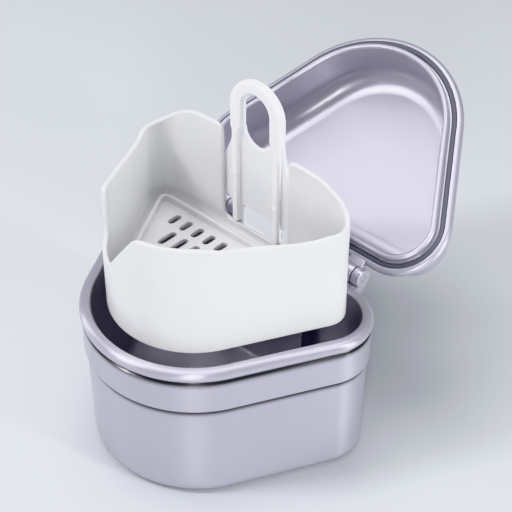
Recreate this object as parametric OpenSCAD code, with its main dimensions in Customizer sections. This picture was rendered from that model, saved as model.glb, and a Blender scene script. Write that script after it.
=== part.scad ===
// Denture case: a round-fronted soaking tub with a hinged, sealed lid, and a
// draining basket that is raised and lowered by its own upright handle.
//
// Millimetres. Z is up. The origin is on the base, below the middle of the
// case. The front is towards -Y and the hinge is at +Y. The case is drawn as
// it stands in use: lid open on its stop, basket raised to drain.

/* [Case outline] */
// Width of the case over its lip
case_w = 96; // [90:1:110]
// Radius of the round front, over the lip
front_r = 35; // [32:1:39]
// Radius of the two back corners, over the lip
back_r = 15.5; // [15.5:0.5:18]
// Angle that each straight side opens out, from the front to the back
side_turn = 28.294; // [26:0.001:30]

/* [Tub] */
// Height of the tub, base to rim
tub_h = 51.2; // [46:0.5:60]
// Thickness of the tub's wall
tub_wall = 2.2; // [1.6:0.1:2.6]
// Thickness of the tub's floor
tub_floor = 2.2; // [1.6:0.1:3]
// Radius round the bottom edge of the tub
base_fillet = 4; // [2:0.5:6]
// How far the wall leans in from the ledge down to the base
body_draft = 0.4; // [0:0.1:0.8]
// Height of the ledge under the upper band
ledge_z = 36; // [30:0.5:40]
// How far the upper band stands out past the body
ledge_step = 0.8; // [0.4:0.1:1.2]
// How far the lip bead stands out past the upper band
lip_step = 0.5; // [0.3:0.1:1]
// Radius of the lip bead
lip_r = 2.1; // [1.6:0.1:2.3]
// Height of the groove under the lip bead
lip_groove_h = 1.1; // [0.8:0.1:1.6]
// Depth of the groove under the lip bead
lip_groove_d = 0.8; // [0.4:0.1:1]

/* [Lid] */
// Room between the lowered handle and the roof of the lid
lid_head = 4.3; // [4:0.1:8]
// Thickness of the lid's dome
lid_wall = 1.8; // [1.4:0.1:2.4]
// Height of the lid's flange
flange_h = 3.3; // [3:0.1:4.5]
// Depth that the lid's sealing ridge reaches into the tub
ridge_depth = 2.4; // [1.5:0.1:3.5]
// Width of the round shoulder of the dome, seen from above
shoulder_w = 7; // [6:0.5:8]
// Height of the round shoulder of the dome
shoulder_h = 6; // [4:0.5:8]
// Angle that the lid stands open, from closed
lid_open = 145; // [100:1:150]
// Gap between the lid's flange and the rim when closed
flange_gap = 0.5; // [0.4:0.1:0.8]

/* [Seal] */
// Width of the seal
seal_w = 1.4; // [1:0.1:1.6]
// Height of the seal
seal_h = 2.2; // [1.8:0.1:2.6]
// Gap left between seal and rim, where the soft seal would be pressed
seal_gap = 0.15; // [0.1:0.05:0.25]

/* [Hinge] */
// Distance from the back of the lip to the hinge axis
hinge_out = 4.3; // [4.1:0.1:6]
// Radius of the hinge knuckles
knuckle_r = 3; // [2.4:0.1:3.2]
// Radius of the hinge pins
pin_r = 1; // [0.8:0.05:1.25]
// Distance from the middle of the case to each hinge
hinge_x = 26; // [20:0.5:26]
// Width of the lid's knuckle
lid_knuckle_w = 5.4; // [4:0.2:6]
// Width of each of the tub's knuckles
tub_knuckle_w = 3; // [2:0.2:3.6]
// Side gap between neighbouring knuckles
knuckle_gap = 0.35; // [0.3:0.05:0.6]
// Radial clearance of a pin in the tub's knuckles
pin_fit = 0.02; // [0.01:0.01:0.04]
// Radial clearance of a pin in the lid's knuckle
run_fit = 0.06; // [0.04:0.01:0.1]

/* [Basket] */
// Distance from the outside of the lip in to the basket
basket_in = 8.4; // [7.8:0.1:8.8]
// Height of the basket's wall above its bottom edge
basket_h = 37; // [30:0.5:40]
// Thickness of the basket's wall
basket_wall = 1.4; // [1:0.1:1.6]
// Thickness of the basket's floor
basket_floor = 1.6; // [1.2:0.1:2.2]
// Height of the skirt that the basket's floor stands on
skirt_h = 4; // [3:0.5:6]
// Height of the rim round the seat on the basket's floor
seat_h = 2.2; // [1.5:0.1:3]
// Width of a drain slot
slot_w = 2.2; // [1.6:0.1:3]
// Length of a drain slot
slot_l = 7; // [5:0.5:8]
// Depth of the saddles in the basket's side walls
saddle_d = 4.5; // [2:0.5:6]
// Height of the low front opening above the basket's bottom edge
scoop_z = 19; // [14:1:24]
// Distance that the basket is raised to drain
lift = 49; // [46:0.5:50]
// Gap between the lowered basket and the tub's floor
basket_gap = 0.5; // [0.3:0.1:1]

/* [Handle] */
// Height of the handle above the basket's bottom edge
handle_h = 61; // [56:0.5:62]
// Outer radius of the handle's loop
loop_r = 10; // [9:0.5:11]
// Width of the finger hole
finger_w = 11; // [9:0.5:13]
// Height of the finger hole
finger_h = 18.7; // [16:0.5:20]
// Widest half width of the handle's plate
wing_r = 16.5; // [15:0.5:18]
// Half width of the handle's stem
stem_r = 9.5; // [8:0.5:10]
// Thickness of the handle's web
web_t = 1.6; // [1.2:0.1:2]
// Width of the handle's two legs
leg_w = 2.6; // [2:0.1:3.2]

/* [Hidden] */
$fn = 96;

tub_colour = [0.62, 0.66, 0.80];
seal_colour = [0.46, 0.48, 0.62];
pin_colour = [0.78, 0.78, 0.80];
basket_colour = [0.93, 0.93, 0.95];

// The outline is a big circle in front, two small ones at the back corners,
// and the straight lines that touch them.
back_y = 19.5;
back_c = [case_w / 2 - back_r, back_y];
side_l = (back_c.x - (front_r - back_r) * cos(side_turn)) / sin(side_turn);
front_c = [0, back_y - side_l * cos(side_turn) + (front_r - back_r) * sin(side_turn)];
back_edge = back_y + back_r;
core_in = back_r - 1;

// How deep a joined shape is sunk into its neighbour
sink = 0.5;
// How far the flat outline's straight edges lie inside the tangents
tuck = 0.002;
// How far a cutter runs past the shape that it cuts
past = 1;
// Turn that carries the front arc past the middle of the case
front_turn = 100;

// Insets from the outside of the lip
band_in = lip_step;
body_in = band_in + ledge_step;
foot_in = body_in + body_draft;
mouth_in = body_in + tub_wall;
well_in = mouth_in + body_draft;
mouth_chamfer = 0.5;
inner_fillet = max(base_fillet - tub_wall, 0.5);

// Angle below the level at which the lip bead runs into its groove
bead_turn = 50;

// Lid: a flange on the lip, a ridge inside the mouth, and a dome on the ridge
ridge_clear = 0.4;
ridge_chamfer = 0.5;
root_chamfer = 0.6;
ridge_in = mouth_in + ridge_clear;
dome_out = ridge_in;
dome_in = dome_out + lid_wall;
flange_z = tub_h + flange_gap;
roof_in_z = tub_floor + basket_gap + handle_h + lid_head;
roof_out_z = roof_in_z + lid_wall;
flange_r = flange_h / 2;

// The seal lies in a groove between the flange's edge and the ridge
seal_side = 0.1;
seal_wall = 0.2;
seal_in = mouth_in - seal_wall - seal_w;
seal_z = tub_h + seal_gap;
seal_top = seal_z + seal_h;

// Hinge axis, level with the rim
hinge_up = 0.2;
arm_clear = 0.2;
hinge_y = back_edge + hinge_out;
hinge_z = tub_h + hinge_up;
hinge_w = lid_knuckle_w + 2 * (knuckle_gap + tub_knuckle_w);
knuckle_clear = 0.4;
ear_drop = 9;
neck = [0.8 * knuckle_r, -0.6 * knuckle_r];

// Basket
basket_z = tub_floor + basket_gap + lift;
basket_floor_top = skirt_h + basket_floor;
inner_in = basket_in + basket_wall;
basket_fillet = 2.4;
edge_r = basket_wall / 2;
seat_w = 1.2;
seat_gap = 0.6;
seat_in = inner_in + basket_fillet + seat_gap;
floor_lap = 0.8;
slot_gap = 2;
slot_pitch = 5;
short_l = slot_l - 2;
saddle_r = 60;
saddle_y = 6;
scoop_from = -83;
scoop_root = front_r / 3;
scoop_edge = 0.5;
scoop_reach = 23;
scoop_slope = 0.75 * (basket_h - scoop_z);
arch_r = 20;
arch_turn = 31.5;
arch_in = 8;
arch_from = norm(back_c) - arch_in;
notch_w = 8;
notch_h = 2.2;

// Handle: it stands on the outer face of the basket's back wall
plate_y = back_edge - basket_in;
window_side = 3.5;
window_up = 0.3;
window_r = stem_r + window_side;
window_z = basket_floor_top + basket_fillet + window_up;
foot_z = 1;
wing_z = 20;
wing_low = 12.5;
loop_z = handle_h - loop_r;
loop_w = 4;
finger_z = handle_h - loop_w - finger_h;
web_top = finger_z + 4;
drain_side = 1;
drain_up = 1.5;
drain_w = 2 * (stem_r - leg_w - drain_side);
drain_h = 8;
nib_out = 1.2;
nib_w = 3;
nib_h = 1.6;
rail_w = 1.6;
rail_gap = 0.6;
rail_clear = 0.3;
rail_lip = 1.7;

// Points along part of an ellipse with radii rx and ry
function arc(c, rx, ry, from, to, steps = 8) =
    [for (i = [0:steps]) let (a = from + (to - from) * i / steps) c + [rx * cos(a), ry * sin(a)]];

// A soft step from 0 to 1
function ease(t) = (1 - cos(180 * min(max(t, 0), 1))) / 2;

// Half width of the handle's plate at height z
function plate_r(z) = z < wing_z
    ? stem_r + (wing_r - stem_r) * ease((z - wing_low) / (wing_z - wing_low))
    : wing_r + (loop_r - wing_r) * ease((z - wing_z) / (web_top - wing_z));

// The outline as a flat shape, drawn in by an inset
module outline(inset) {
    n = [cos(side_turn), -sin(side_turn)];
    a = front_c + (front_r - inset - tuck) * n;
    b = back_c + (back_r - inset - tuck) * n;
    top = back_c + [0, back_r - inset - tuck];
    intersection() {
        translate(front_c) circle(r = front_r - inset);
        translate([-case_w, back_y - 2 * case_w]) square(2 * case_w);
    }
    for (s = [-1, 1]) translate([s * back_c.x, back_c.y]) circle(r = back_r - inset);
    polygon([a, b, back_c, top, [-top.x, top.y], [-back_c.x, back_c.y], [-b.x, b.y], [-a.x, a.y], front_c]);
}

// Carries a section round the outline. The section's x is the distance out
// from the lip's outside, and its y is the height. Each length is drawn in the
// frame of its neighbour, so that their ends meet exactly at the seams.
module carry() {
    for (s = [0, 1]) mirror([s, 0, 0]) intersection() {
        translate([0, -2 * case_w, -2 * case_w]) cube(4 * case_w);
        translate(front_c) rotate(-side_turn) {
            rotate_extrude(angle = front_turn, start = -front_turn) translate([front_r, 0]) children();
            translate([front_r, 0, 0]) straight(side_l) children();
            translate([front_r - back_r, side_l, 0]) {
                rotate_extrude(angle = 90 + side_turn) translate([back_r, 0]) children();
                rotate(90 + side_turn) translate([back_r, 0, 0]) straight(case_w / 2) children();
            }
        }
    }
}

// Stands a section up across Y and carries it along Y
module straight(length) {
    translate([0, length, 0]) rotate([90, 0, 0]) linear_extrude(length) children();
}

// Section of the tub's wall, with the edge of its floor
module tub_section() {
    lip_c = [-lip_r, tub_h - lip_r];
    groove_z = lip_c.y - lip_r * sin(bead_turn) - lip_groove_h;
    polygon(concat(
        [[-core_in, 0]],
        arc([-foot_in - base_fillet, base_fillet], base_fillet, base_fillet, -90, 0),
        [[-body_in, ledge_z - ledge_step / 2], [-band_in, ledge_z]],
        [[-band_in, groove_z], [-band_in - lip_groove_d, groove_z + lip_groove_h / 2]],
        arc(lip_c, lip_r, lip_r, -bead_turn, 90, 10),
        [[-mouth_in + mouth_chamfer, tub_h], [-mouth_in, tub_h - mouth_chamfer]],
        arc([-well_in - inner_fillet, tub_floor + inner_fillet], inner_fillet, inner_fillet, 0, -90),
        [[-core_in, tub_floor]]
    ));
}

module tub() {
    color(tub_colour) difference() {
        union() {
            carry() tub_section();
            linear_extrude(tub_floor) outline(core_in - sink);
            for (s = [-1, 1]) {
                guide_rail(s);
                translate([s * hinge_x, 0, 0]) hinge_bracket();
            }
        }
        for (s = [-1, 1]) translate([s * hinge_x, hinge_y, hinge_z]) rotate([0, 90, 0]) {
            cylinder(r = pin_r + pin_fit, h = hinge_w + past, center = true);
            cylinder(r = knuckle_r + knuckle_clear, h = lid_knuckle_w + 2 * knuckle_gap, center = true);
        }
    }
}

// One of the two rails that guide the basket's back wall and the handle's
// plate. It ends just under the raised basket, and behind that end it leaves
// room for the lid's ridge.
module guide_rail(side) {
    front = plate_y + rail_clear;
    back = back_edge - mouth_in + sink;
    top = basket_z - rail_clear;
    low_top = flange_z - ridge_depth - 2 * ridge_clear;
    x = wing_r + rail_gap;
    translate([side > 0 ? x : -x - rail_w, 0, 0]) rotate([90, 0, 90]) linear_extrude(rail_w) polygon([
        [front, tub_floor - sink],
        [front, top],
        [front + rail_lip, top],
        [front + rail_lip, low_top],
        [back, low_top],
        [back, tub_floor - sink]
    ]);
}

// Two ears and the cradle between them, on the upper band of the tub
module hinge_bracket() {
    root_y = back_edge - band_in - sink;
    foot = hinge_z - ear_drop;
    side_view(hinge_w) {
        circle(r = knuckle_r);
        polygon([
            [root_y - hinge_y, foot - hinge_z],
            [root_y - hinge_y, neck.y + knuckle_clear],
            [-neck.x, neck.y],
            [0, 0],
            neck
        ]);
    }
}

// Draws a shape in the plane across the hinge axis and gives it a width
module side_view(width) {
    translate([-width / 2, hinge_y, hinge_z]) rotate([90, 0, 90]) linear_extrude(width) children();
}

// Places what is drawn for the closed lid where the open lid stands
module opened() {
    translate([0, hinge_y, hinge_z]) rotate([-lid_open, 0, 0]) translate([0, -hinge_y, -hinge_z]) children();
}

// Section of the closed lid: bead flange, seal groove, ridge and dome
module lid_section() {
    flange_top = flange_z + flange_h;
    shoulder_z = roof_in_z - shoulder_h;
    ridge_z = flange_z - ridge_depth;
    polygon(concat(
        [[-flange_r, flange_z]],
        arc([-flange_r, flange_z + flange_r], flange_r, flange_r, -90, 90),
        [[-dome_out + root_chamfer, flange_top], [-dome_out, flange_top + root_chamfer]],
        arc([-dome_in - shoulder_w, shoulder_z], shoulder_w + lid_wall, shoulder_h + lid_wall, 0, 90, 12),
        [[-core_in, roof_out_z], [-core_in, roof_in_z]],
        arc([-dome_in - shoulder_w, shoulder_z], shoulder_w, shoulder_h, 90, 0, 12),
        [[-dome_in, ridge_z + ridge_chamfer], [-dome_in + ridge_chamfer, ridge_z]],
        [[-ridge_in - ridge_chamfer, ridge_z], [-ridge_in, ridge_z + ridge_chamfer]],
        [[-ridge_in, flange_z], [-seal_in - seal_w - seal_side, flange_z]],
        [[-seal_in - seal_w - seal_side, seal_top], [-seal_in + seal_side, seal_top]],
        [[-seal_in + seal_side, flange_z]]
    ));
}

module lid() {
    color(tub_colour) opened() difference() {
        union() {
            carry() lid_section();
            translate([0, 0, roof_in_z]) linear_extrude(lid_wall) outline(core_in - sink);
            for (s = [-1, 1]) translate([s * hinge_x, 0, 0]) lid_arm();
        }
        for (s = [-1, 1]) translate([s * hinge_x, hinge_y, hinge_z]) rotate([0, 90, 0])
            cylinder(r = pin_r + run_fit, h = lid_knuckle_w + past, center = true);
    }
}

// Knuckle of the lid and the arm that joins it to the flange
module lid_arm() {
    low = flange_z + arm_clear - hinge_z;
    root = -hinge_out - flange_r + sink;
    side_view(lid_knuckle_w) {
        circle(r = knuckle_r);
        polygon([
            [root, low],
            [0, low],
            [0, knuckle_r],
            [root, knuckle_r]
        ]);
    }
}

module lid_seal() {
    color(seal_colour) opened() carry()
        translate([-seal_in - seal_w, seal_z]) square([seal_w, seal_h]);
}

module hinge_pin(side) {
    color(pin_colour) translate([side * hinge_x, hinge_y, hinge_z]) rotate([0, 90, 0])
        cylinder(r = pin_r, h = hinge_w, center = true);
}

module hinge_pin_left() {
    hinge_pin(-1);
}

module hinge_pin_right() {
    hinge_pin(1);
}

// Section of the basket's wall, with the edge of its floor and its skirt
module basket_section() {
    polygon(concat(
        [[-basket_in, 0]],
        arc([-basket_in - edge_r, basket_h - edge_r], edge_r, edge_r, 0, 180),
        arc([-inner_in - basket_fillet, basket_floor_top + basket_fillet], basket_fillet, basket_fillet, 0, -90, 5),
        [[-core_in, basket_floor_top], [-core_in, skirt_h], [-inner_in, skirt_h], [-inner_in, 0]]
    ));
}

// A long hole with round ends, along Y
module slot(length) {
    for (s = [-1, 1]) translate([0, s * (length - slot_w) / 2]) circle(d = slot_w);
    square([slot_w, length - slot_w], center = true);
}

// Drain slots: two fans round the front, and two rows behind them
module drain_slots() {
    reach = front_r - seat_in - seat_w - slot_gap;
    inner_reach = reach - slot_l - slot_gap;
    row_y = 2 * slot_gap + slot_l / 2;
    translate(front_c) {
        for (a = [-165:15:-15]) rotate(a + 90) translate([0, slot_l / 2 - reach]) slot(slot_l);
        for (a = [-150:30:-30]) rotate(a + 90) translate([0, short_l / 2 - inner_reach]) slot(short_l);
        for (i = [-4:4]) translate([i * slot_pitch, row_y]) slot(slot_l);
        for (i = [-5:5]) translate([i * slot_pitch, row_y + (slot_l + short_l) / 2 + slot_gap]) slot(short_l);
    }
}

// Saddles cut from the top of the two side walls
module saddle_cut() {
    translate([0, saddle_y, basket_h - saddle_d + saddle_r]) rotate([0, 90, 0])
        cylinder(r = saddle_r, h = case_w, center = true);
}

// The wall's top rolls down to each back corner
module corner_cut() {
    for (s = [0, 1]) mirror([s, 0, 0]) rotate(arch_turn) rotate([90, 0, 0])
        linear_extrude(case_w, center = true) translate([arch_from, basket_h - arch_r]) difference() {
            square([front_r, arch_r + past]);
            circle(r = arch_r);
        }
}

// The low opening at the front left, which starts with a slope
module scoop_cut() {
    translate(front_c) rotate(scoop_from) translate([scoop_root, 0, 0])
        rotate([90, 0, 90]) linear_extrude(front_r) polygon([
            [0, basket_h + past],
            [0, basket_h - scoop_edge],
            [-scoop_slope, scoop_z],
            [-scoop_reach, scoop_z],
            [-scoop_reach, basket_h + past]
        ]);
}

module basket() {
    color(basket_colour) translate([0, 0, basket_z]) difference() {
        union() {
            carry() basket_section();
            translate([0, 0, skirt_h]) linear_extrude(basket_floor) outline(core_in - floor_lap);
            translate([0, 0, basket_floor_top - sink]) linear_extrude(seat_h + sink) difference() {
                outline(seat_in);
                outline(seat_in + seat_w);
            }
        }
        translate([0, 0, skirt_h - past]) linear_extrude(basket_floor + 2 * past) drain_slots();
        translate([-window_r, plate_y - basket_wall - sink, window_z])
            cube([2 * window_r, basket_wall + 2 * sink, basket_h]);
        saddle_cut();
        corner_cut();
        scoop_cut();
        for (a = [-150:30:-30]) translate([front_c.x, front_c.y, -past]) rotate(a)
            translate([0, -notch_w / 2, 0]) cube([front_r, notch_w, notch_h + past]);
    }
}

// The handle's frame as a flat shape: loop and legs
module handle_frame() {
    difference() {
        union() {
            translate([0, loop_z]) circle(r = loop_r);
            translate([-loop_r, web_top]) square([2 * loop_r, loop_z - web_top]);
            for (s = [-1, 1]) translate([s * (stem_r - leg_w / 2), (loop_z + foot_z) / 2])
                square([leg_w, loop_z - foot_z], center = true);
        }
        finger_hole();
    }
}

module finger_hole() {
    r = finger_w / 2;
    for (z = [finger_z + r, finger_z + finger_h - r]) translate([0, z]) circle(r = r);
    translate([-r, finger_z + r]) square([finger_w, finger_h - finger_w]);
}

// The handle's web as a flat shape, wings and all, open at the foot
module handle_web() {
    steps = 24;
    rise = [for (i = [0:steps]) let (z = foot_z + (web_top - foot_z) * i / steps) [plate_r(z), z]];
    fall = [for (i = [steps:-1:0]) [-rise[i].x, rise[i].y]];
    difference() {
        polygon(concat(rise, fall));
        finger_hole();
        translate([-drain_w / 2, basket_floor_top + drain_up]) square([drain_w, drain_h]);
    }
}

module lift_handle() {
    color(basket_colour) translate([0, plate_y + web_t, basket_z]) rotate([90, 0, 0]) {
        linear_extrude(web_t) {
            handle_web();
            handle_frame();
        }
        linear_extrude(web_t + basket_wall) intersection() {
            handle_frame();
            translate([-loop_r, window_z]) square([2 * loop_r, handle_h]);
        }
        for (s = [-1, 1]) translate([s * (stem_r - leg_w / 2) - nib_w / 2, foot_z, -nib_out])
            cube([nib_w, nib_h, nib_out + sink]);
    }
}

tub();
lid();
lid_seal();
hinge_pin_left();
hinge_pin_right();
basket();
lift_handle();
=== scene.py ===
import math

import bpy
import numpy as np
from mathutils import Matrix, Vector
from mathutils.geometry import delaunay_2d_cdt


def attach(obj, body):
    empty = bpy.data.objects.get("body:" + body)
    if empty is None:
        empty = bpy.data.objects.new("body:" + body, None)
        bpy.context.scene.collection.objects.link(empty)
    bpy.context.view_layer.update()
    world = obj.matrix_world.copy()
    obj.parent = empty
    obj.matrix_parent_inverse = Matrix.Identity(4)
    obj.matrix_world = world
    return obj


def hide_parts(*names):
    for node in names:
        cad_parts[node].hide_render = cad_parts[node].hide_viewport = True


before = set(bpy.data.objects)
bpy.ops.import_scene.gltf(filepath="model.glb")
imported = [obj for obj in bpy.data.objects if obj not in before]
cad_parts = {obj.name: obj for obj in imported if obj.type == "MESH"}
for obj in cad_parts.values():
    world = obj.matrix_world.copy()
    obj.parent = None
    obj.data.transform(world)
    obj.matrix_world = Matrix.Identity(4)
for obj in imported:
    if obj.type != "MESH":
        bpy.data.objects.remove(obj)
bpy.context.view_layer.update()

# ---------------------------------------------------------------------------------------------
# The camera looks down on the case from its front right, from arm's length, so that the open
# lid stands behind the raised basket.
view_turn = math.radians(46.5)
view_tilt = math.radians(43.1)
view_back = Vector((
    math.sin(view_turn) * math.cos(view_tilt),
    -math.cos(view_turn) * math.cos(view_tilt),
    math.sin(view_tilt),
))
camera_data = bpy.data.cameras.new("camera")
camera_data.sensor_width = 36
camera_data.lens = 101
camera = bpy.data.objects.new("camera", camera_data)
view_distance = 0.445
tub_middle = Vector((0, 0, 0.025))
camera.location = tub_middle + view_distance * view_back
aim = Vector((0.0005, 0.0255, 0.0510))
camera.rotation_euler = (aim - camera.location).to_track_quat("-Z", "Y").to_euler()
bpy.context.collection.objects.link(camera)
bpy.context.scene.camera = camera

# ---------------------------------------------------------------------------------------------
# The studio: a pale round sweep of card that the case stands on, a wide ceiling light and a
# smaller one over it, a narrow key light before it, tall ones to its left and right, and one
# that the lid's inside mirrors.
def soft_light(name, place, size_x, size_y, power, tint):
    """A rectangular lamp at place that faces the point the camera is aimed at."""
    lamp = bpy.data.lights.new(name, "AREA")
    lamp.shape = "RECTANGLE"
    lamp.size = size_x
    lamp.size_y = size_y
    lamp.energy = power
    lamp.color = tint
    holder = bpy.data.objects.new(name, lamp)
    holder.location = place
    holder.rotation_euler = (aim - holder.location).to_track_quat("-Z", "Y").to_euler()
    bpy.context.collection.objects.link(holder)


soft_light("ceiling_light", Vector((0, 0, 2.2)), 2.0, 2.0, 18.0, (0.99, 0.99, 1.0))
soft_light("overhead_light", Vector((-0.12, 0.10, 0.80)), 0.36, 0.36, 1.7, (1.0, 0.99, 0.97))
soft_light("key_light", Vector((0.42, -0.49, 0.24)), 0.07, 0.40, 1.9, (1.0, 0.99, 0.98))
soft_light("left_light", Vector((-0.62, -0.20, 0.30)), 0.10, 0.60, 0.9, (0.97, 0.98, 1.0))
soft_light("right_light", Vector((0.62, 0.10, 0.22)), 0.07, 0.40, 2.7, (0.98, 0.99, 1.0))
soft_light("lid_light", Vector((-0.26, -0.36, 0.55)), 0.14, 0.18, 2.4, (1.0, 0.99, 1.0))

studio = bpy.data.worlds.new("studio")
studio.use_nodes = True
studio.node_tree.nodes["Background"].inputs["Color"].default_value = (0.88, 0.91, 0.96, 1)
studio.node_tree.nodes["Background"].inputs["Strength"].default_value = 0.30
bpy.context.scene.world = studio
bpy.context.scene.view_settings.view_transform = "Khronos PBR Neutral"


def material(name):
    """A new material, with its node tree and its Principled shader."""
    made = bpy.data.materials.new(name)
    made.use_nodes = True
    return made, made.node_tree, made.node_tree.nodes["Principled BSDF"]


card, card_tree, card_shader = material("pale_card")
card_grain = card_tree.nodes.new("ShaderNodeTexNoise")
card_grain.inputs["Scale"].default_value = 900
card_grain.inputs["Detail"].default_value = 3
card_place = card_tree.nodes.new("ShaderNodeTexCoord")
card_bump = card_tree.nodes.new("ShaderNodeBump")
card_bump.inputs["Strength"].default_value = 0.05
card_bump.inputs["Distance"].default_value = 0.0003
card_tree.links.new(card_place.outputs["Object"], card_grain.inputs["Vector"])
card_tree.links.new(card_grain.outputs["Fac"], card_bump.inputs["Height"])
card_tree.links.new(card_bump.outputs["Normal"], card_shader.inputs["Normal"])
card_shader.inputs["Base Color"].default_value = (0.54, 0.56, 0.59, 1)
card_shader.inputs["Roughness"].default_value = 0.75

bend_start = 1.2
bend_r = 0.8
sweep_count = 96
sweep_turn = np.radians(np.linspace(0, 90, 13))
sweep_line = np.concatenate([
    [[0.4, 0], [0.9, 0]],
    np.stack([bend_start + bend_r * np.sin(sweep_turn), bend_r - bend_r * np.cos(sweep_turn)], -1),
    [[bend_start + bend_r, 2 * bend_r]],
])
round_turn = np.arange(sweep_count) * 2 * math.pi / sweep_count
sweep_points = np.stack([
    sweep_line[:, 0, None] * np.cos(round_turn),
    sweep_line[:, 0, None] * np.sin(round_turn),
    np.broadcast_to(sweep_line[:, 1, None], (len(sweep_line), sweep_count)),
], -1).reshape(-1, 3)
i, j = np.meshgrid(np.arange(len(sweep_line) - 1), np.arange(sweep_count), indexing="ij")
inner_row = i * sweep_count
outer_row = inner_row + sweep_count
k = (j + 1) % sweep_count
sweep_faces = np.stack([inner_row + j, outer_row + j, outer_row + k, inner_row + k], -1)
sweep_faces = sweep_faces.reshape(-1, 4).tolist() + [list(range(sweep_count))]
sweep_mesh = bpy.data.meshes.new("sweep")
sweep_mesh.from_pydata(sweep_points.tolist(), [], sweep_faces)
sweep_mesh.polygons.foreach_set("use_smooth", [True] * len(sweep_mesh.polygons))
sweep_mesh.materials.append(card)
sweep = bpy.data.objects.new("sweep", sweep_mesh)
bpy.context.collection.objects.link(sweep)

# ---------------------------------------------------------------------------------------------
# The tub: one glossy moulding of tinted plastic. Its wall is one section carried round the
# plan outline: rounded foot, leaning body, ledge, upper band, groove and rolled lip.
front_r = 35.0
back_r = 15.5
side_turn = math.radians(28.294)
corner = np.array([32.5, 19.5])
side_run = (corner[0] - (front_r - back_r) * math.cos(side_turn)) / math.sin(side_turn)
front_y = corner[1] - side_run * math.cos(side_turn) + (front_r - back_r) * math.sin(side_turn)


def outline_length(inset):
    """Length of the plan outline when it is drawn in by inset, in mm: twice the sum of half of
    the front arc, a straight side, a corner arc and half of the back."""
    front = (front_r - inset) * (math.pi / 2 - side_turn)
    return 2 * (front + side_run + (back_r - inset) * (math.pi / 2 + side_turn) + corner[0])


def outline(run, inset):
    """Points and outward directions on the plan outline drawn in by inset, at the distances
    run from the middle of the front, positive towards the right. Each point lies on the front
    arc, the straight side, the corner arc or the back line, whichever its distance reaches,
    and a negative distance mirrors it."""
    along = np.abs(run)
    front = (front_r - inset) * (math.pi / 2 - side_turn)
    turned = (back_r - inset) * (math.pi / 2 + side_turn)
    on_front = -math.pi / 2 + along / (front_r - inset)
    past_side = along - front - side_run
    on_corner = -side_turn + past_side / (back_r - inset)
    angle = np.select(
        [along < front, past_side < 0, past_side < turned],
        [on_front, np.full_like(along, -side_turn), on_corner],
        math.pi / 2,
    )
    out = np.stack([np.cos(angle), np.sin(angle)], -1)
    side_way = np.array([math.sin(side_turn), math.cos(side_turn)])
    side_out = np.array([math.cos(side_turn), -math.sin(side_turn)])
    side_start = np.array([0, front_y]) + (front_r - back_r) * side_out
    on_side = side_start + np.clip(along - front, 0, side_run)[:, None] * side_way
    middle = np.where((along < front)[:, None], [0, front_y], on_side)
    radius = np.where(along < front, front_r, back_r) - inset
    points = middle + radius[:, None] * out
    points[:, 0] -= np.clip(past_side - turned, 0, None)
    sign = np.where(run < 0, -1.0, 1.0)[:, None] * [1, 0] + [0, 1]
    return points * sign, out * sign


def rounded(corners, closed=True, steps=5):
    """A flat line through corners, each (x, y, radius), with an arc of that radius at each:
    the arc starts and ends radius / tan(half angle) from the corner. Long straight stretches
    get a point near each end, which keeps the smooth shading flat between."""
    given = np.array([c[:2] for c in corners], float)
    line = []
    for i, (x, y, radius) in enumerate(corners):
        here = given[i]
        if radius == 0 or (not closed and i in (0, len(corners) - 1)):
            line.append(here)
            continue
        before = given[i - 1] - here
        after = given[(i + 1) % len(given)] - here
        before = before / np.linalg.norm(before)
        after = after / np.linalg.norm(after)
        half = math.acos(np.clip(before @ after, -1, 1)) / 2
        middle = here + (before + after) / np.linalg.norm(before + after) * radius / math.sin(half)
        start = here + before * radius / math.tan(half) - middle
        end = here + after * radius / math.tan(half) - middle
        whole = math.acos(np.clip(start @ end / radius ** 2, -1, 1))
        share = np.linspace(0, 1, steps + 1)[:, None]
        swung = np.sin((1 - share) * whole) * start + np.sin(share * whole) * end
        line.extend(middle + swung / math.sin(whole))
    return held_flat(np.array(line), closed)


def held_flat(line, closed):
    """The same line with a point 0.12 mm from each end of every stretch longer than 0.8 mm."""
    after = np.roll(line, -1, 0) if closed else line[1:]
    start = line if closed else line[:-1]
    long_ones = np.linalg.norm(after - start, axis=1) > 0.8
    pieces = []
    for a, b, long_one in zip(start, after, long_ones):
        pieces.append(a)
        if long_one:
            step = (b - a) / np.linalg.norm(b - a) * 0.12
            pieces.extend([a + step, b - step])
    if not closed:
        pieces.append(line[-1])
    return np.array(pieces)


def arc(middle, radius_x, radius_y, start, end, steps):
    """Points middle + (radius_x cos a, radius_y sin a), with a going from start to end degrees
    in even steps."""
    a = np.radians(np.linspace(start, end, steps + 1))
    return np.stack([middle[0] + radius_x * np.cos(a), middle[1] + radius_y * np.sin(a)], -1)


def piece(name, points, faces, body, node, finish, slot_name, painted_shade=None):
    """A smooth mesh piece from points in mm. It rides on body, stands for node, and takes the
    material finish; slot_name is not used. Edges sharper than 50 degrees stay crisp. crevice is
    how much painted shade darkens each point's colour in a groove, from 0 to 1."""
    mesh = bpy.data.meshes.new(name)
    mesh.from_pydata((points * 0.001).tolist(), [], faces)
    # Painted shade: crevice carries how much the material darkens each point's colour in grooves,
    # where shade falls.
    if painted_shade is not None:
        mesh.attributes.new("painted_shade", "FLOAT", "POINT").data.foreach_set("value", painted_shade)
    mesh.polygons.foreach_set("use_smooth", [True] * len(mesh.polygons))
    mesh.set_sharp_from_angle(angle=math.radians(50))
    mesh.materials.append(finish)
    mesh.update()
    made = bpy.data.objects.new(name, mesh)
    bpy.context.collection.objects.link(made)
    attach(made, body)
    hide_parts(node)
    return made


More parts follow.
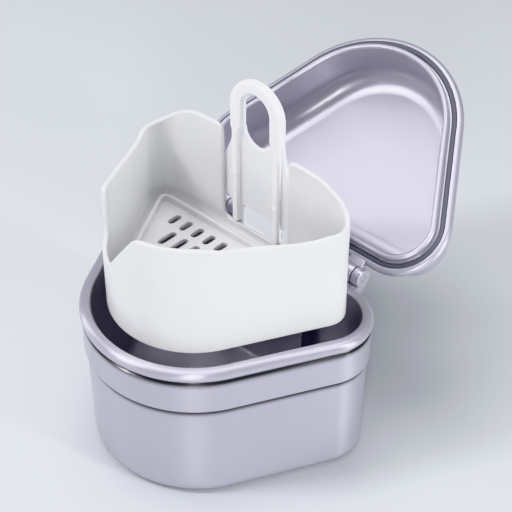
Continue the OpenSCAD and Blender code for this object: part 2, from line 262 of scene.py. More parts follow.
def carried(section, closed=False):
    """Points and faces of a section carried round the plan outline, in steps of about 1 mm. A
    section point (x, z) becomes outline point + x * outward, at height z. A closed section
    gives a ring. An open one starts and ends on a floor or roof, which is filled by shrinking
    its first and last loops in four steps onto one point."""
    count = int(outline_length(0))
    run = (np.arange(count) / count - 0.5) * outline_length(0)
    lip, out = outline(run, 0)
    flat = lip[None] + section[:, 0, None, None] * out[None]
    height = np.broadcast_to(section[:, 1, None, None], flat.shape[:2] + (1,))
    loops = np.concatenate([flat, height], 2)
    poles = np.zeros((0, 3))
    if not closed:
        poles = np.array([[0, 8.0, section[0, 1]], [0, 8.0, section[-1, 1]]])
        share = np.array([0.25, 0.5, 0.75])[:, None, None]
        first = loops[0] * share + poles[0] * (1 - share)
        last = loops[-1] * share[::-1] + poles[1] * (1 - share[::-1])
        loops = np.concatenate([first, loops, last])
    rows = len(loops)
    i, j = np.meshgrid(np.arange(rows if closed else rows - 1), np.arange(count), indexing="ij")
    k = (j + 1) % count
    here = i * count
    above = (i + 1) % rows * count
    faces = np.stack([here + j, here + k, above + k, above + j], -1).reshape(-1, 4).tolist()
    if not closed:
        j = np.arange(count)
        k = (j + 1) % count
        pole = rows * count
        top = pole - count
        faces += np.stack([k, j, np.full(count, pole)], -1).tolist()
        faces += np.stack([top + j, top + k, np.full(count, pole + 1)], -1).tolist()
    return np.concatenate([loops.reshape(-1, 3), poles]), faces


def moulding_group():
    """Node group of a glossy moulding. Flow: slow noise of 25 mm. Grain: fine noise of 0.25 mm.
    Marks: rare thin streaks, stretched noise cut off near its top. Painted shade: the crevice
    attribute darkens the colour in grooves. It puts out a colour shade, a roughness and a normal,
    each the sum of its inputs' shares of those."""
    group = bpy.data.node_groups.new("moulding", "ShaderNodeTree")
    for label in ("Roughness", "Shade", "Grain", "Marks"):
        group.interface.new_socket(label, in_out="INPUT", socket_type="NodeSocketFloat")
    group.interface.new_socket("Shade", in_out="OUTPUT", socket_type="NodeSocketFloat")
    group.interface.new_socket("Roughness", in_out="OUTPUT", socket_type="NodeSocketFloat")
    group.interface.new_socket("Normal", in_out="OUTPUT", socket_type="NodeSocketVector")
    nodes = group.nodes
    links = group.links
    given = nodes.new("NodeGroupInput")
    result = nodes.new("NodeGroupOutput")
    place = nodes.new("ShaderNodeTexCoord")
    flow = nodes.new("ShaderNodeTexNoise")
    flow.inputs["Scale"].default_value = 40
    flow.inputs["Detail"].default_value = 2
    grain = nodes.new("ShaderNodeTexNoise")
    grain.inputs["Scale"].default_value = 4000
    grain.inputs["Detail"].default_value = 2
    turn = nodes.new("ShaderNodeMapping")
    turn.inputs["Rotation"].default_value = (0.5, 0.3, 0.7)
    turn.inputs["Scale"].default_value = (1, 14, 1)
    streak = nodes.new("ShaderNodeTexNoise")
    streak.inputs["Scale"].default_value = 160
    streak.inputs["Detail"].default_value = 1
    cut = nodes.new("ShaderNodeMapRange")
    cut.inputs["From Min"].default_value = 0.62
    cut.inputs["From Max"].default_value = 0.72
    for texture in (flow, grain, turn):
        links.new(place.outputs["Object"], texture.inputs["Vector"])
    links.new(turn.outputs["Vector"], streak.inputs["Vector"])
    links.new(streak.outputs["Fac"], cut.inputs["Value"])

    centred = nodes.new("ShaderNodeMath")
    centred.operation = "SUBTRACT"
    centred.inputs[1].default_value = 0.5
    shade = nodes.new("ShaderNodeMath")
    shade.operation = "MULTIPLY_ADD"
    shade.inputs[2].default_value = 1.0
    # Painted shade: the crevice attribute darkens the colour in grooves, to as little as a tenth,
    # where shade falls.
    painted_shade = nodes.new("ShaderNodeAttribute")
    painted_shade.attribute_name = "painted_shade"
    painted_shade_factor = nodes.new("ShaderNodeMapRange")
    painted_shade_factor.inputs["To Min"].default_value = 1.0
    painted_shade_factor.inputs["To Max"].default_value = 0.10
    tone_and_painted_shade = nodes.new("ShaderNodeMath")
    tone_and_painted_shade.operation = "MULTIPLY"
    links.new(flow.outputs["Fac"], centred.inputs[0])
    links.new(centred.outputs[0], shade.inputs[0])
    links.new(given.outputs["Shade"], shade.inputs[1])
    links.new(painted_shade.outputs["Fac"], painted_shade_factor.inputs["Value"])
    links.new(shade.outputs[0], tone_and_painted_shade.inputs[0])
    links.new(painted_shade_factor.outputs["Result"], tone_and_painted_shade.inputs[1])
    links.new(tone_and_painted_shade.outputs[0], result.inputs["Shade"])

    worn = nodes.new("ShaderNodeMath")
    worn.operation = "MULTIPLY_ADD"
    links.new(cut.outputs["Result"], worn.inputs[0])
    links.new(given.outputs["Marks"], worn.inputs[1])
    links.new(given.outputs["Roughness"], worn.inputs[2])
    uneven = nodes.new("ShaderNodeMath")
    uneven.operation = "MULTIPLY_ADD"
    uneven.inputs[1].default_value = 0.12
    links.new(centred.outputs[0], uneven.inputs[0])
    links.new(worn.outputs[0], uneven.inputs[2])
    links.new(uneven.outputs[0], result.inputs["Roughness"])

    swell = nodes.new("ShaderNodeBump")
    swell.inputs["Strength"].default_value = 0.25
    swell.inputs["Distance"].default_value = 0.0004
    fine = nodes.new("ShaderNodeBump")
    fine.inputs["Distance"].default_value = 0.00003
    links.new(flow.outputs["Fac"], swell.inputs["Height"])
    links.new(grain.outputs["Fac"], fine.inputs["Height"])
    links.new(given.outputs["Grain"], fine.inputs["Strength"])
    links.new(swell.outputs["Normal"], fine.inputs["Normal"])
    links.new(fine.outputs["Normal"], result.inputs["Normal"])
    return group


moulding = moulding_group()


def moulded(tree, shader, colour, roughness, shade, grain, marks):
    """Joins a moulding group to a shader: its shade, painted shade in grooves included,
    multiplies the colour.
    """
    surface = tree.nodes.new("ShaderNodeGroup")
    surface.node_tree = moulding
    surface.inputs["Roughness"].default_value = roughness
    surface.inputs["Shade"].default_value = shade
    surface.inputs["Grain"].default_value = grain
    surface.inputs["Marks"].default_value = marks
    tint = tree.nodes.new("ShaderNodeVectorMath")
    tint.operation = "SCALE"
    tint.inputs[0].default_value = colour
    tree.links.new(surface.outputs["Shade"], tint.inputs["Scale"])
    tree.links.new(tint.outputs["Vector"], shader.inputs["Base Color"])
    tree.links.new(surface.outputs["Roughness"], shader.inputs["Roughness"])
    tree.links.new(surface.outputs["Normal"], shader.inputs["Normal"])


def case_finish(name):
    """The case's tinted plastic, with a pearly sheen under a thin clear coat."""
    made, tree, shader = material(name)
    moulded(tree, shader, (0.49, 0.475, 0.55), 0.34, 0.08, 0.08, 0.05)
    shader.inputs["Metallic"].default_value = 0.55
    shader.inputs["Coat Weight"].default_value = 0.4
    shader.inputs["Coat Roughness"].default_value = 0.10
    return made, tree, shader


# The tub was drawn off its core upwards, which leaves its sheen stretched along its walls.
tub_plastic, tub_tree, tub_shader = case_finish("tub_plastic")
tub_sweep = tub_tree.nodes.new("ShaderNodeTangent")
tub_sweep.direction_type = "RADIAL"
tub_sweep.axis = "Z"
tub_tree.links.new(tub_sweep.outputs["Tangent"], tub_shader.inputs["Tangent"])
tub_shader.inputs["Anisotropic"].default_value = 0.8
tub_shader.inputs["Anisotropic Rotation"].default_value = 0.25

foot_r = 4.0
ledge_z = 36.0
lip_z = 51.2
bead_r = 2.1
tub_section = held_flat(np.concatenate([
    [[-14.5, 0]],
    arc((-5.7, foot_r), foot_r, foot_r, -90, 0, 12),
    rounded([(-1.68, foot_r + 0.6, 0), (-1.33, ledge_z - 3.2, 0)], closed=False),
    [[-1.33, ledge_z - 2.6], [-1.32, ledge_z - 2.0], [-1.31, ledge_z - 1.5]],
    rounded([
        (-1.31, ledge_z - 1.0, 0), (-1.3, ledge_z - 0.4, 0.15),
        (-0.5, ledge_z, 0.18), (-0.5, ledge_z + 0.7, 0),
    ], closed=False),
    rounded([(-0.5, ledge_z + 1.0, 0), (-0.5, lip_z - 6.6, 0)], closed=False),
    [[-0.5, lip_z - 6.0], [-0.5, lip_z - 5.5]],
    rounded([
        (-0.5, lip_z - 5.2, 0), (-0.5, lip_z - 4.809, 0.2),
        (-1.3, lip_z - 4.259, 0.25), (-0.75, lip_z - 3.709, 0),
    ], closed=False),
    arc((-bead_r, lip_z - bead_r), bead_r, bead_r, -46, 90, 16),
    rounded([
        (-2.5, lip_z, 0), (-3.0, lip_z, 0.3), (-3.5, lip_z - 0.5, 0.3), (-3.5, lip_z - 1.2, 0),
    ], closed=False),
    arc((-5.7, foot_r), 1.8, 1.8, 0, -90, 8),
    [[-14.5, foot_r - 1.8]],
]), closed=False)
tub_z = tub_section[:, 1]
# Painted shade: the groove under the bead and the underside of the ledge get their colour darkened
# here, where shade falls.
painted_shade_under_bead = np.interp(tub_z - lip_z, [-6.2, -5.2, -4.6, -3.6, -2.9], [0, 0.55, 1.0, 0.9, 0])
painted_shade_under_ledge = np.interp(tub_z - ledge_z, [-2.8, -2.0, -1.3, -0.05, 0], [0, 0.45, 1.0, 1.0, 0])
tub_painted_shade = np.maximum(painted_shade_under_bead, painted_shade_under_ledge) * (tub_section[:, 0] > -2)
tub_painted_shade = np.concatenate([np.zeros(3), tub_painted_shade, np.zeros(3)])
tub_points, tub_faces = carried(tub_section)
tub_painted_shade = np.append(np.repeat(tub_painted_shade, (len(tub_points) - 2) // len(tub_painted_shade)), [0, 0])
piece("tub_shell", tub_points, tub_faces, "case", "tub", tub_plastic, "case_plastic", tub_painted_shade)

# ---------------------------------------------------------------------------------------------
# Two rails inside the back of the tub, moulded with it, guide the basket and its handle. Two
# brackets on the upper band each hold a pin between a pair of ears.
def edge_profile(thick, radius, steps=4):
    """Pairs (distance in from the outline, depth below the front face) over an edge of that
    thickness: a quarter round on each face, with one more point on each flat."""
    a = np.radians(np.linspace(0, 90, steps + 1))
    quarter = np.stack([radius * (1 - np.sin(a)), radius * (1 - np.cos(a))], -1)
    back = quarter[::-1] * [1, -1] + [0, thick]
    if thick - 2 * radius < 1e-6:
        back = back[1:]
    return np.concatenate([[[radius + 0.12, 0]], quarter, back, [[radius + 0.12, thick]]])


def plate(loops, place, inner=None, plan=None, period=None):
    """Points and faces of a flat plate with rounded edges. loops holds pairs (closed line,
    edge profile) with the material to the left of each line. Each line is drawn in by its own
    normal times the profile's distance, at the profile's depth, so its outward corners have to
    be rounder than the profile reaches in. The two faces are the triangles (constrained
    Delaunay) between the innermost lines and the inner points. place turns columns
    (a, b, depth) into points, plan gives the plane in which the triangles are sought, and
    period is the length at which a wrapped line repeats."""
    flat = []
    sides = []
    rings = []
    count = 0
    for line, profile in loops:
        step = np.roll(line, -1, 0) - np.roll(line, 1, 0)
        if period:
            step[:, 0] = (step[:, 0] + period / 2) % period - period / 2
        step = step / np.linalg.norm(step, axis=1)[:, None]
        inward = np.stack([-step[:, 1], step[:, 0]], -1)
        drawn = line[None] + profile[:, 0, None, None] * inward[None]
        depth = np.broadcast_to(profile[:, 1, None, None], drawn.shape[:2] + (1,))
        flat.append(np.concatenate([drawn, depth], 2).reshape(-1, 3))
        rows, n = len(profile), len(line)
        i, j = np.meshgrid(np.arange(rows - 1), np.arange(n), indexing="ij")
        k = (j + 1) % n
        side = np.stack([i * n + j, (i + 1) * n + j, (i + 1) * n + k, i * n + k], -1)
        sides.append(side.reshape(-1, 4) + count)
        rings.append((count, rows, n))
        count += rows * n
    front_depth = loops[0][1][0, 1]
    back_depth = loops[0][1][-1, 1]
    if inner is None:
        inner = np.zeros((0, 2))
    flat.append(np.column_stack([inner, np.full(len(inner), front_depth)]))
    flat.append(np.column_stack([inner, np.full(len(inner), back_depth)]))
    flat = np.concatenate(flat)
    front = np.concatenate(
        [start + np.arange(n) for start, rows, n in rings] + [count + np.arange(len(inner))]
    )
    back = np.concatenate(
        [start + (rows - 1) * n + np.arange(n) for start, rows, n in rings]
        + [count + len(inner) + np.arange(len(inner))]
    )
    sought = flat[front, :2] if plan is None else plan(flat[front, :2])
    ends = []
    first = 0
    for start, rows, n in rings:
        ends.append(np.stack([first + np.arange(n), first + (np.arange(n) + 1) % n], -1))
        first += n
    ends = np.concatenate(ends)
    found = delaunay_2d_cdt([Vector(p) for p in sought], ends.tolist(), [], 0, 1e-7)
    source = np.array([o[0] if o else -1 for o in found[3]])
    triangles = source[np.array(found[2])]
    middles = sought[triangles].mean(1)
    inside = np.zeros(len(middles), bool)
    a, b = sought[ends[:, 0]], sought[ends[:, 1]]
    for start in range(0, len(middles), 2000):
        m = middles[start:start + 2000, None]
        spans = (a[None, :, 1] > m[:, :, 1]) != (b[None, :, 1] > m[:, :, 1])
        rise = np.where(b[:, 1] == a[:, 1], 1e-12, b[:, 1] - a[:, 1])
        cross = a[None, :, 0] + (m[:, :, 1] - a[None, :, 1]) * (b[:, 0] - a[:, 0]) / rise
        inside[start:start + 2000] = (spans & (cross > m[:, :, 0])).sum(1) % 2 == 1
    triangles = triangles[inside]
    caps = front[triangles].tolist() + back[triangles][:, ::-1].tolist()
    return place(flat), np.concatenate(sides).tolist() + caps


def across(front_x):
    """Places (y, z, depth) with the front face at x = front_x, towards +X."""
    return lambda p: np.column_stack([front_x - p[:, 2], p[:, 0], p[:, 1]])


rail_side = rounded([
    (26.9, 1.7, 0.4), (32.0, 1.7, 0.4), (32.0, 48.5, 0.4),
    (28.6, 48.5, 0.6), (28.6, 51.4, 0.5), (26.9, 51.4, 0.5),
])
rail_x = 17.1
rail_w = 1.6
for side, front_x in (("left", -rail_x), ("right", rail_x + rail_w)):
    rail = plate([(rail_side, edge_profile(rail_w, 0.25))], across(front_x))
    piece("guide_rail_" + side, *rail, "case", "tub", tub_plastic, "case_plastic")

hinge_x = 26.0
hinge = np.array([39.3, 51.4])
knuckle_r = 3.0
pin_r = 1.0
pin_half = 6.05
ear_t = 3.0
cradle_w = 6.5
ear_line = np.concatenate([
    rounded([(-2.4, -1.8, 0), (-5.3, -1.4, 0.5), (-5.3, -9.0, 0.5), (2.2, -1.99, 0)], closed=False),
    arc((0, 0), knuckle_r, knuckle_r, -36.87, 212, 40),
]) + hinge
ear_hole = arc(hinge, pin_r + 0.02, pin_r + 0.02, 360, 0, 28)[:-1]
cradle_line = np.concatenate([
    rounded([
        (-2.95, -1.72, 0), (-5.3, -1.4, 0.4), (-5.3, -9.0, 0.4),
        (0.1, -3.95, 0.25), (0.25, -3.39, 0.25), (-0.3, -3.387, 0),
    ], closed=False),
    arc((0, 0), 3.4, 3.4, -98, -146, 9),
]) + hinge
for side, x in (("left", -hinge_x), ("right", hinge_x)):
    for end, front_x in (("inner", x - (pin_half - ear_t)), ("outer", x + pin_half)):
        ear_loops = [(ear_line, edge_profile(ear_t, 0.3)), (ear_hole, edge_profile(ear_t, 0.12))]
        ear = plate(ear_loops, across(front_x))
        piece("hinge_ear_" + side + "_" + end, *ear, "case", "tub", tub_plastic, "case_plastic")
    cradle = plate([(cradle_line, edge_profile(cradle_w, 0.1))], across(x + cradle_w / 2))
    piece("hinge_cradle_" + side, *cradle, "case", "tub", tub_plastic, "case_plastic")

# ---------------------------------------------------------------------------------------------
# The hinge pins: two drawn steel rods with turned-off ends, pushed in from the side through
# the brackets' ears and the arm between them.
steel, steel_tree, steel_shader = material("steel_pin")
moulded(steel_tree, steel_shader, (0.62, 0.62, 0.64), 0.30, 0.06, 0.2, 0.25)
steel_shader.inputs["Metallic"].default_value = 1.0

pin_line = rounded([
    (-pin_half, 0, 0), (-pin_half, pin_r, 0.2), (pin_half, pin_r, 0.2), (pin_half, 0, 0),
], closed=False)


def turned(line, middle, count):
    """Points and faces of a line of (x, radius) turned about the axis along X through middle:
    x, middle + radius (cos a, sin a). Its two ends lie on the axis and are closed there."""
    a = np.arange(count) * 2 * math.pi / count
    inner = line[1:-1]
    x = np.broadcast_to(inner[:, 0, None] + middle[0], (len(inner), count))
    y = middle[1] + inner[:, 1, None] * np.cos(a)
    z = middle[2] + inner[:, 1, None] * np.sin(a)
    tips = np.array(middle) + [[line[0, 0], 0, 0], [line[-1, 0], 0, 0]]
    i, j = np.meshgrid(np.arange(len(inner) - 1), np.arange(count), indexing="ij")
    k = (j + 1) % count
    here = i * count
    above = here + count
    faces = np.stack([here + j, here + k, above + k, above + j], -1).reshape(-1, 4)
    j = np.arange(count)
    k = (j + 1) % count
    low = len(inner) * count
    start = np.stack([k, j, np.full(count, low)], -1)
    last = (len(inner) - 1) * count
    end = np.stack([last + j, last + k, np.full(count, low + 1)], -1)
    points = np.concatenate([np.stack([x, y, z], -1).reshape(-1, 3), tips])
    return points, faces.tolist() + start.tolist() + end.tolist()


for side, x in (("left", -hinge_x), ("right", hinge_x)):
    pin = turned(pin_line, (x, hinge[0], hinge[1]), 32)
    piece("steel_pin_" + side, *pin, "case", "hinge_pin_" + side, steel, "pin")

# ---------------------------------------------------------------------------------------------
# The lid: one moulding in the same plastic, drawn closed and then laid open on its hinge. The
# section runs from the roof's inside, over the sealing ridge, the seal's groove and the bead
# of the flange, to the roof's outside.
lid_plastic = case_finish("lid_plastic")[0]
lid_turn = math.radians(-145)


def opened(points):
    """The points turned by the lid's opening angle about the hinge line."""
    y = points[:, 1] - hinge[0]
    z = points[:, 2] - hinge[1]
    turned_y = y * math.cos(lid_turn) - z * math.sin(lid_turn) + hinge[0]
    turned_z = y * math.sin(lid_turn) + z * math.cos(lid_turn) + hinge[1]
    return np.column_stack([points[:, 0], turned_y, turned_z])


roof_z = 68.0
lid_t = 1.8
dome = (-12.7, roof_z - 6)
lid_section = held_flat(np.concatenate([
    [[-14.5, roof_z]],
    arc(dome, 7, 6, 90, 0, 16),
    rounded([
        (-5.7, 61, 0), (-5.7, 49.8, 0.3), (-5.2, 49.3, 0.3), (-4.4, 49.3, 0.3), (-3.9, 49.8, 0.3),
        (-3.9, 51.7, 0.15), (-3.4, 51.7, 0.15), (-3.4, 53.55, 0.2), (-1.8, 53.55, 0.2),
        (-1.8, 51.7, 0.05), (-1.66, 51.7, 0),
    ], closed=False, steps=4),
    arc((-1.65, 53.35), 1.65, 1.65, -86, 90, 16),
    rounded([(-2.2, 55.0, 0), (-3.3, 55.0, 0.3), (-3.9, 55.6, 0.3), (-3.9, 57, 0)], closed=False),
    arc(dome, 7 + lid_t, 6 + lid_t, 0, 90, 16),
    [[-14.5, roof_z + lid_t]],
]), closed=False)
lid_points, lid_faces = carried(lid_section)
piece("lid_shell", opened(lid_points), lid_faces, "cover", "lid", lid_plastic, "case_plastic")

arm_line = np.concatenate([
    rounded([(-0.4, 3, 0), (-5.45, 3, 0.5), (-5.45, 0.5, 0.5), (-3.1, 0.5, 0)], closed=False),
    arc((0, 0), knuckle_r, knuckle_r, 170.4, 450, 44),
]) + hinge
arm_hole = arc(hinge, pin_r + 0.06, pin_r + 0.06, 360, 0, 28)[:-1]
arm_w = 5.4
for side, x in (("left", -hinge_x), ("right", hinge_x)):
    arm_loops = [(arm_line, edge_profile(arm_w, 0.3)), (arm_hole, edge_profile(arm_w, 0.12))]
    points, faces = plate(arm_loops, across(x + arm_w / 2))
    piece("lid_arm_" + side, opened(points), faces, "cover", "lid", lid_plastic, "case_plastic")

# ---------------------------------------------------------------------------------------------
# The seal: a moulded ring of soft grey rubber, pressed into the lid's groove, with its edges
# just broken.
rubber, rubber_tree, rubber_shader = material("seal_rubber")
moulded(rubber_tree, rubber_shader, (0.085, 0.088, 0.12), 0.55, 0.2, 0.6, 0.1)

seal_line = rounded([
    (-3.3, 51.35, 0.3), (-1.9, 51.35, 0.3), (-1.9, 53.55, 0.3), (-3.3, 53.55, 0.3),
])
seal_points, seal_faces = carried(seal_line, closed=True)
piece("seal_ring", opened(seal_points), seal_faces, "cover", "lid_seal", rubber, "seal")

# ---------------------------------------------------------------------------------------------
# The basket: one thin moulding in milky, see-through plastic. Its wall has a rounded rim that
# dips at the sides, arches over the back corners, opens behind for the handle, and drops low
# at the front left.
basket_z = 51.7
basket_h = 37.0
basket_in = 8.4
wall_t = 1.4


def milky(name, colour, clear, thick, roughness):
    """A milky see-through plastic. Its alpha grows from clear, where a wall is seen square, to
    thick at grazing angles, as the light's path through the wall grows, with slow clouds."""
    made, tree, shader = material(name)
    moulded(tree, shader, colour, roughness, 0.05, 0.12, 0.12)
    edge = tree.nodes.new("ShaderNodeLayerWeight")
    edge.inputs["Blend"].default_value = 0.35
    place = tree.nodes.new("ShaderNodeTexCoord")
    cloud = tree.nodes.new("ShaderNodeTexNoise")
    cloud.inputs["Scale"].default_value = 55
    cloud.inputs["Detail"].default_value = 3
    span = tree.nodes.new("ShaderNodeMapRange")
    span.inputs["To Min"].default_value = clear
    span.inputs["To Max"].default_value = thick
    mix = tree.nodes.new("ShaderNodeMath")
    mix.operation = "MULTIPLY_ADD"
    mix.inputs[1].default_value = 0.10
    mix.use_clamp = True
    tree.links.new(place.outputs["Object"], cloud.inputs["Vector"])
    tree.links.new(edge.outputs["Facing"], span.inputs["Value"])
    tree.links.new(cloud.outputs["Fac"], mix.inputs[0])
    tree.links.new(span.outputs["Result"], mix.inputs[2])
    tree.links.new(mix.outputs[0], shader.inputs["Alpha"])
    shader.inputs["Coat Weight"].default_value = 0.2
    shader.inputs["Coat Roughness"].default_value = 0.15
    return made


milk_plastic = milky("milk_plastic", (0.78, 0.782, 0.79), 0.68, 0.95, 0.30)


def rim_height(run, x, y):
    """Height of the wall's top: the lowest of the plain height, a wide round saddle along Y,
    a round fall towards each back corner, the low front opening with its slope, and the
    window behind the handle. Straight lines through given points along the run raise or lower
    the wall's sides and back corners, but neither the opening nor the window."""
    saddle = basket_h - 4.5 + 60 - np.sqrt(np.clip(3600 - (y - 6) ** 2, 0, None))
    turn = math.radians(31.5)
    out = np.abs(x) * math.cos(turn) + y * math.sin(turn) - (np.hypot(*corner) - 8)
    fall = basket_h - 20 + np.sqrt(np.clip(400 - np.clip(out, 0, 20) ** 2, 0, None))
    aim_turn = math.radians(-83)
    side = -x * math.sin(aim_turn) + (y - front_y) * math.cos(aim_turn)
    ahead = x * math.cos(aim_turn) + (y - front_y) * math.sin(aim_turn)
    slope = np.interp(side, [-13.5, 0], [19, basket_h - 0.5])
    scoop = np.where((ahead > front_r / 3) & (side <= 0) & (side >= -23), slope, 50)
    window = np.where((np.abs(x) < 13) & (y > 20), 8.3, 50)
    wall = np.min([np.full_like(x, basket_h), saddle, fall], 0) + np.interp(
        np.abs(run), [28, 33, 38, 44, 50, 56, 60, 64, 68, 72, 76, 80, 84, 88, 94],
        [0.1, 0.7, 1.2, 0.9, 0.1, -0.7, -0.6, 1.0, 2.8, 3.8, 4.1, 4.3, 4.7, 5.0, 5.2],
    )
    return np.min([wall, scoop, window], 0)


def softened(run, height, period, step, spread):
    """A closed line of (run, height), taken at even steps of its own length, and each of its
    coordinates smoothed with a bell curve of that spread along the line."""
    x = np.append(run, run[0] + period)
    y = np.append(height, height[0])
    length = np.concatenate([[0], np.cumsum(np.hypot(np.diff(x), np.diff(y)))])
    count = int(length[-1] / step)
    at = np.arange(count) / count * length[-1]
    x = np.interp(at, length, x)
    y = np.interp(at, length, y)
    reach = int(4 * spread / step) + 1
    offset = np.arange(-reach, reach + 1)
    weight = np.exp(-0.5 * (offset * step / spread) ** 2)
    weight = weight / weight.sum()
    index = np.arange(count)[:, None] + offset[None]
    wrapped = x[index % count] + (index // count) * period
    return np.stack([(wrapped * weight).sum(1), (y[index % count] * weight).sum(1)], -1)


wall_length = outline_length(basket_in)
wall_run = (np.arange(4000) / 4000 - 0.5) * wall_length
wall_xy = outline(wall_run, basket_in)[0]
wall_top = rim_height(wall_run, wall_xy[:, 0], wall_xy[:, 1])
rim_line = softened(wall_run, wall_top, wall_length, 0.5, 2.0)[::-1]
foot_run = wall_run[::10]
foot_line = np.stack([foot_run, np.zeros_like(foot_run)], -1)

# The points inside the wall's faces stay 3 mm under the lowest rim nearby, which softening
# can't reach.
near = np.arange(-40, 41)
index = (np.arange(4000)[:, None] + near[None]) % 4000
low_top = wall_top[index].min(1) - 3.0
columns = np.linspace(0, 4000, int(wall_length / 1.1), endpoint=False).astype(int)
inner = [
    np.column_stack([np.full(n, wall_run[c]), np.linspace(1.2, low_top[c], n)])
    for c in columns
    for n in [int((low_top[c] - 1.2) / 1.6) + 2]
]


def wound(p):
    """The plane for the wall's triangles: the run becomes an angle, and the height a radius."""
    a = -p[:, 0] / wall_length * 2 * math.pi
    radius = 40 + p[:, 1]
    return np.stack([radius * np.cos(a), radius * np.sin(a)], -1)


def wrapped(p):
    """Places (run, height, depth) on the wall: outline point - depth * outward."""
    run = (p[:, 0] + wall_length / 2) % wall_length - wall_length / 2
    xy, out = outline(run, basket_in)
    return np.column_stack([xy - p[:, 2:] * out, p[:, 1] + basket_z])


wall = plate(
    [(rim_line, edge_profile(wall_t, wall_t / 2)), (foot_line, edge_profile(wall_t, 0.25))],
    wrapped, np.concatenate(inner), wound, wall_length,
)
piece("basket_wall", *wall, "tray", "basket", milk_plastic, "basket_plastic")

# The basket's floor, moulded with its wall: a fillet runs up the wall, and drain slots lie in
# two fans and two rows inside the rim of the seat.
def slot_line(middle, angle, length):
    """A slot 2.2 wide with round ends, clockwise, its length along the given direction."""
    reach = length / 2 - 1.1
    ends = np.concatenate([
        arc((0, reach), 1.1, 1.1, 180, 0, 8), arc((0, -reach), 1.1, 1.1, 0, -180, 8),
    ])
    turn = np.array([[math.cos(angle), math.sin(angle)], [-math.sin(angle), math.cos(angle)]])
    return ends @ turn + middle


slot_places = []
for degrees in range(-165, 0, 15):
    a = math.radians(degrees)
    slot_places.append((15.5 * math.cos(a), 15.5 * math.sin(a), a + math.pi / 2, 7.0))
for degrees in range(-150, 0, 30):
    a = math.radians(degrees)
    slot_places.append((7.5 * math.cos(a), 7.5 * math.sin(a), a + math.pi / 2, 5.0))
slot_places += [(x, 7.5, 0.0, 7.0) for x in range(-20, 21, 5)]
slot_places += [(x, 15.5, 0.0, 5.0) for x in range(-25, 26, 5)]

floor_run = (np.arange(210) / 210 - 0.5) * outline_length(9.7)
floor_line = outline(floor_run, 9.7)[0]
floor_edge = np.concatenate([
    [[3.0, 0], [2.62, 0]],
    arc((2.5, -2.4), 2.4, 2.4, 90, 180, 8),
    [[0.0, -2.4], [0.0, 1.6], [3.0, 1.6]],
])
slot_edge = edge_profile(1.6, 0.3)
floor_loops = [(floor_line, floor_edge)]
for x, y, angle, length in slot_places:
    floor_loops.append((slot_line(np.array([x, y + front_y]), angle, length), slot_edge))


def level(top):
    """Places (x, y, depth) with the front face at height top, upwards."""
    return lambda p: np.column_stack([p[:, :2], top - p[:, 2]])


basket_floor = plate(floor_loops, level(basket_z + 5.6))
piece("basket_floor", *basket_floor, "tray", "basket", milk_plastic, "basket_plastic")

seat_line = rounded([(-14.0, 57.2, 0), (-12.8, 57.2, 0), (-12.8, 59.5, 0.4), (-14.0, 59.5, 0.4)])
seat = carried(seat_line, closed=True)
piece("seat_rim", *seat, "tray", "basket", milk_plastic, "basket_plastic")

# ---------------------------------------------------------------------------------------------
# The lifting handle: a second milky moulding, fixed to the back of the basket. A thick frame
# of two legs and a loop stiffens a thin winged web, which the drain hole pierces.
web_plastic = milky("web_plastic", (0.86, 0.865, 0.885), 0.74, 0.96, 0.30)
frame_plastic = milky("frame_plastic", (0.90, 0.90, 0.92), 0.86, 0.98, 0.26)


def plate_half(z):
    """Half width of the web at height z: it swells from the stem to the wings and draws in
    again to the loop, each along half a cosine wave."""
    swell = (1 - np.cos(np.pi * np.clip((z - 12.5) / 7.5, 0, 1))) / 2
    draw = (1 - np.cos(np.pi * np.clip((z - 20) / 22.3, 0, 1))) / 2
    return np.where(z < 20, 9.5 + 7 * swell, 16.5 - 6.5 * draw)


def upright(front_y_mm):
    """Places (x, height, depth) with the front face at y = front_y_mm, towards -Y."""
    return lambda p: np.column_stack([p[:, 0], front_y_mm + p[:, 2], p[:, 1] + basket_z])


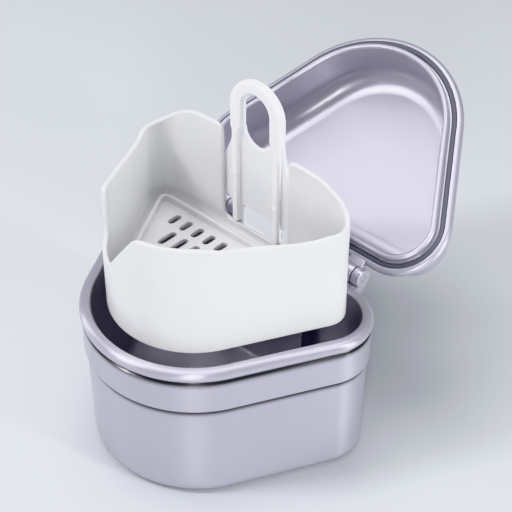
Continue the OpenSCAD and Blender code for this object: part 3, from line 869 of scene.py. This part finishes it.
plate_y = corner[1] + back_r - basket_in
leg_x = 8.2
finger_r = 5.5
finger_z = 43.8
loop_r = 10
web_z = np.linspace(2.0, 41.9, 90)
web_right = np.stack([plate_half(web_z), web_z], -1)
web_top = rounded([
    (9.9, 42.6, 0), (8.6, 44.4, 0.8), (6.3, 44.4, 0.6), (5.5, 43.6, 0.6), (5.47, 43.2, 0),
], closed=False)
web_line = np.concatenate([
    arc((8.5, 2.0), 1, 1, -90, 0, 5)[:-1], web_right, web_top,
    arc((0, finger_z), finger_r, finger_r, -8, -172, 40),
    web_top[::-1] * [-1, 1], web_right[::-1] * [-1, 1], arc((-8.5, 2.0), 1, 1, 180, 270, 5)[1:],
])
drain_line = rounded([(-5.9, 7.1, 0.8), (-5.9, 15.1, 0.8), (5.9, 15.1, 0.8), (5.9, 7.1, 0.8)])
web_edge = edge_profile(1.44, 0.35)
web = plate([(web_line, web_edge), (drain_line, web_edge)], upright(plate_y + 0.08))
piece("handle_web", *web, "tray", "lift_handle", web_plastic, "handle_plastic")

frame_right = rounded([
    (9.5, 9.9, 0), (9.5, 42.0, 1.4), (loop_r, 42.9, 1.4), (loop_r, 51, 0),
], closed=False)
frame_inner = rounded([
    (finger_r, 51.5, 0), (finger_r, 44.2, 3), (6.9, 40.6, 3), (6.9, 9.9, 0),
], closed=False)
frame_line = np.concatenate([
    frame_right[:-1], arc((0, 51), loop_r, loop_r, 0, 180, 60)[:-1], frame_right[::-1] * [-1, 1],
    arc((-leg_x, 9.6), 1.3, 1.3, 180, 360, 14), frame_inner[::-1][:-1] * [-1, 1],
    arc((0, 51.5), finger_r, finger_r, 180, 0, 40)[:-1], frame_inner,
    arc((leg_x, 9.6), 1.3, 1.3, 180, 360, 14),
])
loop_frame = plate([(frame_line, edge_profile(3.0, 0.9, 6))], upright(plate_y - wall_t))
piece("handle_frame", *loop_frame, "tray", "lift_handle", frame_plastic, "handle_plastic")

# Two small nibs are moulded behind the handle's foot.
for side, x in (("left", -leg_x), ("right", leg_x)):
    nib_line = rounded([
        (x - 1.5, 1, 0.4), (x + 1.5, 1, 0.4), (x + 1.5, 2.6, 0.4), (x - 1.5, 2.6, 0.4),
    ])
    nib = plate([(nib_line, edge_profile(1.4, 0.25))], upright(28.0))
    piece("handle_nib_" + side, *nib, "tray", "lift_handle", frame_plastic, "handle_plastic")
